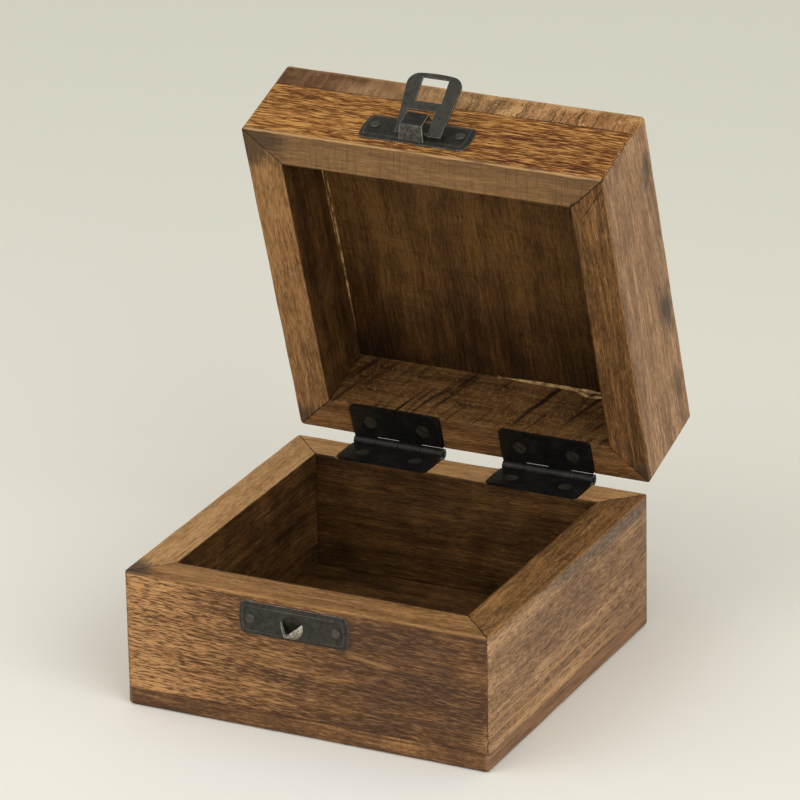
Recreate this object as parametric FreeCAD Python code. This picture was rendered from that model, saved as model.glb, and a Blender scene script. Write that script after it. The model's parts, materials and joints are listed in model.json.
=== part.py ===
import FreeCAD, Part
import math
import os

from FreeCAD import Vector

# Small wooden keepsake box, sizes in millimetres.
# The origin is the middle of the underside, +X runs to the right, +Y to the back, +Z up.
# The lid and its clasp are modelled shut and then swung open about their pivots.

# Wooden box
box_width = 100.0
box_depth = 96.0
wall = 10.0
base_height = 36.2
bottom_board = 5.0
lid_height = 27.4
top_board = 7.8
rim_gap = 0.8
corner_round = 1.2
foot_round = 1.2
crown_round = 0.8

# How far the lid and the clasp stand open
lid_opening = 72.4
clasp_opening = 153.0

# Butt hinges on the back rims
hinge_length = 25.4
hinge_spacing = 42.4
leaf_thickness = 0.8
leaf_proud = 0.3
leaf_setback = 0.2
leaf_corner = 1.2
mortise_clearance = 0.15
knuckles = 4
barrel_radius = 1.5
barrel_clearance = 0.3
knuckle_gap = 0.16
notch_gap = 0.5
pin_radius = 0.7
pin_clearance = 0.05
pin_stub = 0.3

# Slotted countersunk screws in the hinge leaves
screw_spacing = 15.0
screw_from_back = 4.8
screw_head_radius = 1.85
screw_shank_radius = 0.9
screw_head_depth = 0.9
screw_recess = 0.1
screw_length = 7.0
screw_tip = 1.6
screw_clearance = 0.05
slot_width = 0.5
slot_depth = 0.4
slot_turn = 35.0

# Latch plates, stamped from sheet with a sloping border
sheet = 0.7
plate_width = 30.0
plate_height = 8.8
plate_corner = 1.0
plate_bow = 0.6
bow_share = 0.55
plate_border = 1.2
plate_edge = 0.25
hasp_offset = -3.9
hasp_above_rim = 3.6
keeper_offset = -2.6
keeper_below_rim = 1.7

# Flat-headed nails that hold the latch plates
nail_spacing = 23.4
nail_head_radius = 1.3
nail_head_height = 0.45
nail_head_bevel = 0.27
nail_shank_radius = 0.55
nail_length = 7.0
nail_tip = 1.5
nail_clearance = 0.05

# Pivot of the clasp, above the lid's rim and out from its front
pivot_above_rim = 5.2
pivot_out = 2.1
bar_radius = 0.5

# Bent tongue of the hasp plate, folded over the clasp's bar
tongue_foot_width = 6.4
tongue_width = 5.0
tongue_foot = 0.1
tongue_headroom = 1.0
tongue_fold = -0.2
tongue_back = 4.6
tongue_rise = 0.35
tongue_lip = 1.6
tongue_bend = 0.6

# Clasp, a dished plate with a window for the nose and a gap for the tongue
clasp_offset = -2.2
clasp_reach = 16.4
clasp_heel = 0.6
clasp_pivot_width = 12.5
clasp_end_width = 15.2
clasp_end_round = 2.8
clasp_heel_round = 0.6
clasp_dish = 0.5
clasp_border = 1.3
clasp_lip = 0.55
window_width = 7.2
window_near = 8.7
window_far = 15.0
window_round = 0.5
gap_far = 6.9
tongue_side_clearance = 0.2

# Nose drawn out of the keeper plate
nose_below_rim = 6.4
nose_radius = 2.9
nose_reach = 3.2
nose_drop = 0.9
nose_tip_radius = 0.75
nose_wall = 0.55
mouth_above_root = 1.0
mouth_above_tip = 0.15

# Values worked out from the sizes above
half_width = box_width / 2
half_depth = box_depth / 2
lid_rim = base_height + rim_gap
lid_top = lid_rim + lid_height
axis_y = half_depth + barrel_radius + barrel_clearance
axis_z = base_height + rim_gap / 2
leaf_top = base_height + leaf_proud
leaf_front = half_depth - wall + leaf_setback
pivot_z = lid_rim + pivot_above_rim
overshoot = wall / 2
right = Vector(1, 0, 0)
back = Vector(0, 1, 0)
up = Vector(0, 0, 1)


def rounded_edges(corners, to_space, closed=True):
    """Lines and tangent arcs along corners (a, b, radius), laid out in space by to_space(a, b)."""
    count = len(corners)
    points = [Vector(a, b, 0) for a, b, radius in corners]
    bends = []
    for i, (a, b, radius) in enumerate(corners):
        inner_end = not closed and i in (0, count - 1)
        if radius == 0 or inner_end:
            bends.append((points[i], None, points[i]))
            continue
        before = (points[i - 1] - points[i]).normalize()
        after = (points[(i + 1) % count] - points[i]).normalize()
        half_angle = before.getAngle(after) / 2
        reach = radius / math.tan(half_angle)
        middle = (before + after).normalize()
        crest = points[i] + middle * (radius / math.sin(half_angle) - radius)
        bends.append((points[i] + before * reach, crest, points[i] + after * reach))

    def lay(point):
        return to_space(point.x, point.y)

    edges = []
    for i, (start, crest, end) in enumerate(bends):
        if crest is not None:
            edges.append(Part.Arc(lay(start), lay(crest), lay(end)).toShape())
        if closed or i < count - 1:
            edges.append(Part.makeLine(lay(end), lay(bends[(i + 1) % count][0])))
    return edges


def rounded_wire(corners, to_space):
    return Part.Wire(rounded_edges(corners, to_space))


def prism(corners, to_space, travel):
    return Part.Face(rounded_wire(corners, to_space)).extrude(travel)


def rectangle(a_low, a_high, b_low, b_high, low_round=0.0, high_round=0.0):
    return [
        (a_low, b_low, low_round),
        (a_high, b_low, low_round),
        (a_high, b_high, high_round),
        (a_low, b_high, high_round),
    ]


def box_between(low, high):
    return Part.makeBox(high[0] - low[0], high[1] - low[1], high[2] - low[2], Vector(*low))


def turned(profile, seat, direction):
    """Solid turned from (radius, depth) points about an axis through seat, square to X."""
    points = [seat + right * radius + direction * depth for radius, depth in profile]
    face = Part.Face(Part.makePolygon(points + points[:1]))
    return face.revolve(seat, direction, 360)


def rounded_block(low, high, low_round, high_round):
    """The box's outside between two heights, with its edges eased."""
    plan = rectangle(-half_width, half_width, -half_depth, half_depth, corner_round, corner_round)
    front = rectangle(-half_width, half_width, low, high, low_round, high_round)
    side = rectangle(-half_depth, half_depth, low, high, low_round, high_round)
    outside = prism(plan, lambda x, y: Vector(x, y, low), up * (high - low))
    outside = outside.common(prism(front, lambda x, z: Vector(x, -half_depth, z), back * box_depth))
    return outside.common(prism(side, lambda y, z: Vector(-half_width, y, z), right * box_width))


def mitred_wall(block, side, low, high):
    """One wall of four, cut at 45 degrees where it meets its neighbours."""
    outer = [
        (-half_width, -half_depth),
        (half_width, -half_depth),
        (half_width, half_depth),
        (-half_width, half_depth),
    ]
    inner = [(x - math.copysign(wall, x), y - math.copysign(wall, y)) for x, y in outer]
    start = ("front", "right", "back", "left").index(side)
    end = (start + 1) % 4
    plan = [(x, y, 0) for x, y in (outer[start], outer[end], inner[end], inner[start])]
    return block.common(prism(plan, lambda x, y: Vector(x, y, low), up * (high - low)))


def slab(block, low, high):
    return block.common(box_between((-box_width, -box_depth, low), (box_width, box_depth, high)))


# Hinges

hinge_centres = {"left": -hinge_spacing / 2, "right": hinge_spacing / 2}
knuckle_length = hinge_length / knuckles


def knuckle_span(centre, index):
    start = centre - hinge_length / 2 + index * knuckle_length
    return start, start + knuckle_length


def along_axis(start, end, radius):
    return Part.makeCylinder(radius, end - start, Vector(start, axis_y, axis_z), right)


def screw_shape(seat, extra):
    """A countersunk screw pointing down from the leaf's face, or its hole if extra is its clearance."""
    depth = screw_recess if extra == 0 else 0.0
    head = screw_head_radius + extra
    shank = screw_shank_radius + extra
    profile = [
        (0, depth),
        (head, depth),
        (head, screw_recess),
        (shank, screw_recess + screw_head_depth),
        (shank, screw_length - screw_tip + extra),
        (0, screw_length + extra),
    ]
    return turned(profile, seat, -up)


def screw_seats(centre):
    y = half_depth - screw_from_back
    return [Vector(centre + side * screw_spacing / 2, y, leaf_top) for side in (-1, 1)]


def screws_down(centre):
    screws = []
    for seat in screw_seats(centre):
        slot = box_between(
            (-2 * screw_head_radius, -slot_width / 2, -screw_recess - slot_depth),
            (2 * screw_head_radius, slot_width / 2, overshoot),
        )
        slot.rotate(Vector(), up, slot_turn)
        slot.translate(seat)
        screws.append(screw_shape(seat, 0).cut(slot))
    return screws


def leaf_down(centre, owned):
    """Hinge leaf on the base's rim, with the knuckles that it owns rolled round the pin."""
    low_x = centre - hinge_length / 2
    high_x = centre + hinge_length / 2
    plan = rectangle(low_x, high_x, leaf_front, axis_y, leaf_corner, 0)
    leaf = prism(plan, lambda x, y: Vector(x, y, leaf_top - leaf_thickness), up * leaf_thickness)
    for index in range(knuckles):
        start, end = knuckle_span(centre, index)
        if index in owned:
            leaf = leaf.fuse(along_axis(start + knuckle_gap / 2, end - knuckle_gap / 2, barrel_radius))
        else:
            clear = barrel_radius + notch_gap
            low = (start - knuckle_gap / 2, axis_y - clear, leaf_top - leaf_thickness)
            high = (end + knuckle_gap / 2, axis_y + clear, leaf_top)
            leaf = leaf.cut(box_between(low, high))
    leaf = leaf.cut(along_axis(low_x - overshoot, high_x + overshoot, pin_radius + pin_clearance))
    for seat in screw_seats(centre):
        leaf = leaf.cut(screw_shape(seat, screw_clearance))
    return leaf.removeSplitter()


def hinge_pin(centre):
    reach = hinge_length / 2 + pin_stub
    pin = along_axis(centre - reach, centre + reach, pin_radius)
    return pin.makeChamfer(pin_stub / 2, [edge for edge in pin.Edges if edge.isClosed()])


def mortise_down(centre):
    """Pocket in the base's back rim for one leaf, with its screw holes."""
    half_length = hinge_length / 2 + mortise_clearance
    low = (centre - half_length, half_depth - wall - overshoot, leaf_top - leaf_thickness)
    high = (centre + half_length, half_depth + overshoot, base_height + overshoot)
    pocket = box_between(low, high)
    for seat in screw_seats(centre):
        pocket = pocket.fuse(screw_shape(seat, screw_clearance))
    return pocket


def flipped(shape):
    """The same hardware on the lid's rim, mirrored about the hinge axis."""
    return shape.mirror(Vector(0, 0, axis_z), up)


# Latch

hasp_low = lid_rim + hasp_above_rim
keeper_low = base_height - keeper_below_rim - plate_height


def on_front(out):
    """Places (x, z) on the box's front, standing out from it by out."""
    return lambda x, z: Vector(x, -half_depth - out, z)


def plate_outline(centre, low, inset):
    half = plate_width / 2 - inset
    bottom = low + inset
    top = low + plate_height - inset
    middle = low + plate_height / 2
    corner = plate_corner - inset / 2
    rise = plate_height / 2 - inset
    bow_radius = bow_share * math.hypot(rise, plate_bow) * rise / plate_bow
    return [
        (centre - half + plate_bow, bottom, corner),
        (centre + half - plate_bow, bottom, corner),
        (centre + half, middle, bow_radius),
        (centre + half - plate_bow, top, corner),
        (centre - half + plate_bow, top, corner),
        (centre - half, middle, bow_radius),
    ]


def sloped(outline, out_wide, out_narrow, inset):
    """Solid between an outline and its inset copy, at two distances from the front."""
    wide = rounded_wire(outline(0.0), on_front(out_wide))
    narrow = rounded_wire(outline(inset), on_front(out_narrow))
    return Part.makeLoft([wide, narrow], True, True)


def nail_places(centre, low):
    z = low + plate_height / 2
    return [Vector(centre + side * nail_spacing / 2, -half_depth - sheet, z) for side in (-1, 1)]


def nail(seat):
    profile = [
        (0, -nail_head_height),
        (nail_head_radius - nail_head_bevel, -nail_head_height),
        (nail_head_radius, nail_head_bevel - nail_head_height),
        (nail_head_radius, 0),
        (nail_shank_radius, 0),
        (nail_shank_radius, nail_length - nail_tip),
        (0, nail_length),
    ]
    return turned(profile, seat, back)


def nail_hole(seat):
    radius = nail_shank_radius + nail_clearance
    profile = [
        (0, -overshoot),
        (radius, -overshoot),
        (radius, nail_length - nail_tip),
        (0, nail_length + nail_clearance),
    ]
    return turned(profile, seat, back)


def stamped_plate(centre, low):
    def outline(inset):
        return plate_outline(centre, low, inset)

    plate = prism(outline(0.0), on_front(0.0), back * -plate_edge)
    plate = plate.fuse(sloped(outline, plate_edge, sheet, plate_border))
    for seat in nail_places(centre, low):
        plate = plate.cut(nail_hole(seat))
    return plate


def bent_tongue():
    """Strip folded up from the hasp plate's lower edge and back over the clasp's bar."""
    ceiling = pivot_out + bar_radius + tongue_headroom
    path = [
        (hasp_low + tongue_foot, plate_edge / 2, 0),
        (pivot_z + tongue_fold, ceiling, tongue_bend),
        (pivot_z + tongue_back, ceiling + tongue_rise, tongue_bend),
        (pivot_z + tongue_back + tongue_foot, ceiling + tongue_rise - tongue_lip, 0),
    ]
    side = hasp_offset - tongue_foot_width / 2
    inner = Part.Wire(rounded_edges(path, lambda z, out: Vector(side, -half_depth - out, z), False))
    strip = inner.makeOffset2D(-sheet, 2, True, True).extrude(right * tongue_foot_width)
    taper = [
        (hasp_offset - tongue_foot_width / 2, 0, 0),
        (hasp_offset + tongue_foot_width / 2, 0, 0),
        (hasp_offset + tongue_width / 2, ceiling, 0),
        (hasp_offset + tongue_width / 2, ceiling + overshoot, 0),
        (hasp_offset - tongue_width / 2, ceiling + overshoot, 0),
        (hasp_offset - tongue_width / 2, ceiling, 0),
    ]
    return strip.common(prism(taper, lambda x, out: Vector(x, -half_depth - out, lid_rim), up * lid_height))


def hasp_plate():
    return stamped_plate(hasp_offset, hasp_low).fuse(bent_tongue()).removeSplitter()


def clasp_outline(inset, past_heel=0.0):
    """Clasp's outline, set in along its sides and free end, and run on past its heel."""
    taper = (clasp_end_width - clasp_pivot_width) / 2 / (clasp_reach + clasp_heel)
    end_half = clasp_end_width / 2 - inset
    heel_half = clasp_pivot_width / 2 - inset - taper * past_heel
    heel = pivot_z + clasp_heel + past_heel
    end = pivot_z - clasp_reach + inset
    return [
        (clasp_offset - heel_half, heel, clasp_heel_round),
        (clasp_offset - end_half, end, clasp_end_round - inset),
        (clasp_offset + end_half, end, clasp_end_round - inset),
        (clasp_offset + heel_half, heel, clasp_heel_round),
    ]


def clasp():
    face = pivot_out + sheet / 2
    floor = pivot_out - sheet / 2
    lip = floor - clasp_dish
    body = prism(clasp_outline(0.0), on_front(lip), back * -clasp_lip)
    body = body.fuse(sloped(clasp_outline, lip + clasp_lip, face, clasp_border))

    def hollow_outline(inset):
        return clasp_outline(clasp_lip + inset, overshoot)

    hollow = sloped(hollow_outline, lip, floor, clasp_border - clasp_lip)
    body = body.cut(hollow)
    window = rectangle(
        clasp_offset - window_width / 2,
        clasp_offset + window_width / 2,
        pivot_z - window_far,
        pivot_z - window_near,
        window_round,
        window_round,
    )
    body = body.cut(prism(window, on_front(0.0), back * -overshoot))
    gap_half = tongue_foot_width / 2 + abs(hasp_offset - clasp_offset) + tongue_side_clearance
    gap = rectangle(
        clasp_offset - gap_half,
        clasp_offset + gap_half,
        pivot_z - gap_far,
        pivot_z + overshoot,
        window_round,
        0,
    )
    body = body.cut(prism(gap, on_front(0.0), back * -overshoot))
    bar_reach = (gap_half + clasp_pivot_width / 2) / 2
    bar_start = Vector(clasp_offset - bar_reach, -half_depth - pivot_out, pivot_z)
    return body.fuse(Part.makeCylinder(bar_radius, 2 * bar_reach, bar_start, right)).removeSplitter()


def nose_cone(thinner):
    """Leaning cone from the keeper plate to the tip of its nose, or its hollow if it is thinner."""
    rings = []
    stations = (
        (0.0, nose_radius, 0.0),
        (sheet + nose_reach, nose_tip_radius, nose_drop),
    )
    for out, radius, drop in stations:
        centre = Vector(keeper_offset, -half_depth - out, base_height - nose_below_rim - drop)
        ring = Part.makeCircle(radius - thinner, centre, back)
        rings.append(Part.Wire(ring))
    cone = Part.makeLoft(rings, True, True)
    inside = box_between(
        (-box_width, -half_depth - sheet - nose_reach + thinner, 0),
        (box_width, half_depth, base_height),
    )
    return cone.common(inside)


def keeper_plate():
    root_z = base_height - nose_below_rim
    tip_z = root_z - nose_drop
    plate = stamped_plate(keeper_offset, keeper_low)
    above_mouth = [
        (sheet, root_z + mouth_above_root, 0),
        (sheet + nose_reach, tip_z + mouth_above_tip, 0),
        (sheet + nose_reach, root_z + nose_radius, 0),
        (sheet, root_z + nose_radius, 0),
    ]
    side = keeper_offset - nose_radius
    mouth = prism(above_mouth, lambda out, z: Vector(side, -half_depth - out, z), right * 2 * nose_radius)
    hollow = nose_cone(nose_wall)
    return plate.fuse(nose_cone(0.0).cut(mouth)).cut(hollow).removeSplitter()


# Assembly


def build():
    base_block = rounded_block(0, base_height, foot_round, 0)
    lid_block = rounded_block(lid_rim, lid_top, 0, crown_round)
    lid_seam = lid_top - top_board
    base = {"bottom_board": slab(base_block, 0, bottom_board)}
    lid = {"lid_top_board": slab(lid_block, lid_seam, lid_top)}
    for side in ("front", "right", "back", "left"):
        base["base_" + side + "_wall"] = mitred_wall(base_block, side, bottom_board, base_height)
        lid["lid_" + side + "_wall"] = mitred_wall(lid_block, side, lid_rim, lid_seam)

    lid_screws = []
    base_screws = []
    for name, centre in hinge_centres.items():
        pocket = mortise_down(centre)
        base["base_back_wall"] = base["base_back_wall"].cut(pocket)
        lid["lid_back_wall"] = lid["lid_back_wall"].cut(flipped(pocket))
        base[name + "_hinge_base_leaf"] = leaf_down(centre, (1, 3))
        lid[name + "_hinge_lid_leaf"] = flipped(leaf_down(centre, (0, 2)))
        base[name + "_hinge_pin"] = hinge_pin(centre)
        base_screws += screws_down(centre)
        lid_screws += [flipped(screw) for screw in screws_down(centre)]
    base["hinge_base_screws"] = Part.makeCompound(base_screws)
    lid["hinge_lid_screws"] = Part.makeCompound(lid_screws)

    keeper_nails = nail_places(keeper_offset, keeper_low)
    hasp_nails = nail_places(hasp_offset, hasp_low)
    for seat in keeper_nails:
        base["base_front_wall"] = base["base_front_wall"].cut(nail_hole(seat))
    for seat in hasp_nails:
        lid["lid_front_wall"] = lid["lid_front_wall"].cut(nail_hole(seat))
    base["keeper_plate"] = keeper_plate()
    base["keeper_nails"] = Part.makeCompound([nail(seat) for seat in keeper_nails])
    lid["hasp_plate"] = hasp_plate()
    lid["hasp_nails"] = Part.makeCompound([nail(seat) for seat in hasp_nails])

    swung_clasp = clasp()
    swung_clasp.rotate(Vector(0, -half_depth - pivot_out, pivot_z), -right, clasp_opening)
    lid["hasp_clasp"] = swung_clasp
    for shape in lid.values():
        shape.rotate(Vector(0, axis_y, axis_z), -right, lid_opening)
    return {**base, **lid}


os.makedirs("parts", exist_ok=True)
for node, shape in build().items():
    shape.exportStep("parts/" + node + ".step")
    print(node, len(shape.Solids), "solids", round(shape.Volume, 2), "mm3", "valid", shape.isValid())
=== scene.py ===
# %% [markdown]
# A small wooden keepsake box
#
# The box has a base and a hinged lid of oiled brown wood, two black butt hinges and a black hasp latch.
# Its construction is settled already: every board, hinge and plate is a fixed frame with real sizes and joints.
# This lesson dresses that frame. The boards and the latch are modelled again with eased and slightly uneven edges,
# the hinges, screws and nails keep their shapes, and every surface gets a procedural finish.

# %% Load the frame
import json
import math

import bmesh
import bpy
from mathutils import Matrix, Vector, noise

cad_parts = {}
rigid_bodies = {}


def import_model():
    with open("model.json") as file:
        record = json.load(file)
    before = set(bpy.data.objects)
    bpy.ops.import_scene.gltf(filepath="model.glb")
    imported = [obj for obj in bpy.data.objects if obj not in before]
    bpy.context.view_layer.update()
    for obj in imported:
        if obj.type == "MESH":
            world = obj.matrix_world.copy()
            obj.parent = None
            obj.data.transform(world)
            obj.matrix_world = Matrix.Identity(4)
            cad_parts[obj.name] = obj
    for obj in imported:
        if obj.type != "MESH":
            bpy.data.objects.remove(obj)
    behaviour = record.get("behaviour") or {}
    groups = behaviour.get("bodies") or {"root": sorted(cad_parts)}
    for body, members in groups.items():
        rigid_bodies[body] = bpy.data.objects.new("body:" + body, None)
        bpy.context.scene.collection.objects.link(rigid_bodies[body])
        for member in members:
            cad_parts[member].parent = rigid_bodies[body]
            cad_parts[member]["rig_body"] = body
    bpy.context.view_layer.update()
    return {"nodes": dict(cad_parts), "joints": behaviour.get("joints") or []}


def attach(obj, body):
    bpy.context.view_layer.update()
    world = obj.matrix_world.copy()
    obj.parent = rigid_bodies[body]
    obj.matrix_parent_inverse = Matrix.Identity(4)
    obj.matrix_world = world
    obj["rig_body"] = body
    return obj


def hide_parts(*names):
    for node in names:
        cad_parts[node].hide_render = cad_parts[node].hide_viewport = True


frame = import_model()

mm = 0.001

# %% [markdown]
# A box is easiest to model shut, with every board square to the axes, and to open afterwards.
# The frame rests open, so each body needs the move that takes it from shut to that rest.
# A joint gives it: the angle of its lower limit, turned about its axis, is the shut position.
# The clasp hangs on the lid, so its own turn comes first and the lid's turn second.

# %% Moves between shut and rest
joints = {joint["name"]: joint for joint in frame["joints"]}


def shutting(joint_name):
    """The turn about a joint's axis, at rest, that shuts it."""
    joint = joints[joint_name]
    pivot = Matrix.Translation(Vector(joint["pos_m"]))
    turn = Matrix.Rotation(math.radians(joint["range_deg"][0]), 4, Vector(joint["axis"]))
    return pivot @ turn @ pivot.inverted()


shut = {"base": Matrix.Identity(4), "lid": shutting("lid_hinge")}
shut["clasp"] = shut["lid"] @ shutting("clasp_pivot")


def shut_box(node):
    """Lowest and highest corner of a node when the box is shut."""
    thing = frame["nodes"][node]
    places = [shut[thing["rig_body"]] @ vertex.co for vertex in thing.data.vertices]
    low = Vector(min(place[axis] for place in places) for axis in range(3))
    high = Vector(max(place[axis] for place in places) for axis in range(3))
    return low, high


bottom_low, bottom_high = shut_box("bottom_board")
base_wall_low, base_wall_high = shut_box("base_front_wall")
lid_wall_low, lid_wall_high = shut_box("lid_front_wall")
top_low, top_high = shut_box("lid_top_board")
half_width = base_wall_high.x
half_depth = -base_wall_low.y
wall = base_wall_high.y - base_wall_low.y
base_rim = base_wall_high.z
lid_rim = lid_wall_low.z
for name, size in (("half width", half_width), ("wall", wall), ("base rim", base_rim), ("lid rim", lid_rim)):
    print(name, round(size / mm, 2), "mm")

# %% [markdown]
# Shader nodes are easier to read as sums. One small class wraps an output socket and turns Python's operators into
# Math nodes, so a mask can be written as one expression. Every other node comes from its node method:
# the settings are set first, and then each input gets a plain value or a link.

# %% Shader maths


class Value:
    """An output socket of a shader tree. Arithmetic on it adds Math nodes to the tree."""

    def __init__(self, socket):
        self.socket = socket

    def node(self, kind, settings, inputs, output=0):
        tree = self.socket.id_data
        made = tree.nodes.new(kind)
        for name, setting in settings.items():
            if name == "stops":
                elements = made.color_ramp.elements
                while len(elements) < len(setting):
                    elements.new(1.0)
                for element, (position, colour) in zip(elements, setting):
                    element.position = position
                    element.color = colour
            else:
                setattr(made, name, setting)
        for name, value in inputs.items():
            if isinstance(value, Value):
                tree.links.new(value.socket, made.inputs[name])
            else:
                made.inputs[name].default_value = value
        return Value(made.outputs[output])

    def math(self, operation, *values):
        return self.node("ShaderNodeMath", {"operation": operation}, dict(enumerate(values)))

    def __add__(self, other):
        return self.math("ADD", self, other)

    def __radd__(self, other):
        return self.math("ADD", other, self)

    def __sub__(self, other):
        return self.math("SUBTRACT", self, other)

    def __rsub__(self, other):
        return self.math("SUBTRACT", other, self)

    def __mul__(self, other):
        return self.math("MULTIPLY", self, other)

    def __rmul__(self, other):
        return self.math("MULTIPLY", other, self)

    def __abs__(self):
        return self.math("ABSOLUTE", self)

    def least(self, other):
        return self.math("MINIMUM", self, other)

    def most(self, other):
        return self.math("MAXIMUM", self, other)

    def fade(self, start, end):
        """0 where the value is start, 1 where it is end, and smooth between, whichever is larger."""
        sockets = {"Value": self, "From Min": start, "From Max": end}
        return self.node("ShaderNodeMapRange", {"interpolation_type": "SMOOTHSTEP"}, sockets)

    def stretched(self, *lengths):
        """A vector divided by a length along each axis."""
        shares = tuple(1 / length for length in lengths)
        return self.node("ShaderNodeVectorMath", {"operation": "MULTIPLY"}, {0: self, 1: shares})

    def noise(self, detail, seed, roughness=0.5):
        """Smooth noise of this vector, about 0.5 in the middle."""
        sockets = {"Vector": self, "W": seed, "Scale": 1.0, "Detail": detail, "Roughness": roughness}
        return self.node("ShaderNodeTexNoise", {"noise_dimensions": "4D"}, sockets)

    def swing(self, detail, seed, roughness=0.5):
        """Noise of this vector that swings evenly either side of 0."""
        return (self.noise(detail, seed, roughness) - 0.5) * 2

    def parts(self):
        return [self.node("ShaderNodeSeparateXYZ", {}, {0: self}, axis) for axis in range(3)]

    def mixed(self, other, share):
        """This colour, with a share of another one over it."""
        settings = {"data_type": "RGBA", "clamp_factor": True}
        return self.node("ShaderNodeMix", settings, {0: share, 6: self, 7: other}, output=2)


def colour(red, green, blue):
    """A colour given as 0 to 255 on a screen, turned into the linear light that shaders use."""
    shares = [part / 255 for part in (red, green, blue)]
    linear = [part / 12.92 if part <= 0.04045 else ((part + 0.055) / 1.055) ** 2.4 for part in shares]
    return (*linear, 1.0)


def new_material(name):
    """An empty material with its principled shader, and the object coordinates as a value."""
    material = bpy.data.materials.new(name)
    material.use_nodes = True
    shader = material.node_tree.nodes["Principled BSDF"]
    place = Value(material.node_tree.nodes.new("ShaderNodeTexCoord").outputs["Object"])
    return material, shader, place


def feed(shader, **values):
    """Links values to the shader's inputs, whose names have spaces in place of underscores."""
    tree = shader.id_data
    for name, value in values.items():
        socket = shader.inputs[name.replace("_", " ")]
        if isinstance(value, Value):
            tree.links.new(value.socket, socket)
        else:
            socket.default_value = value


print("shader maths ready")

# %% [markdown]
# Wood is a solid with fibres, so one pattern in space dresses every face of a board: long on its sides, short on its
# ends. The places are turned back to the shut box and measured in millimetres, so that a streak or a stain can
# be put where it is on the real board. The fibres sway a little, wide bands and fine streaks follow them, and
# open pores are short dark dashes: noise that is drawn out along the grain, of which only the low parts count.
# Noise is quicker than a drawn texture here, and it never repeats from board to board.

# %% Timber


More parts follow.
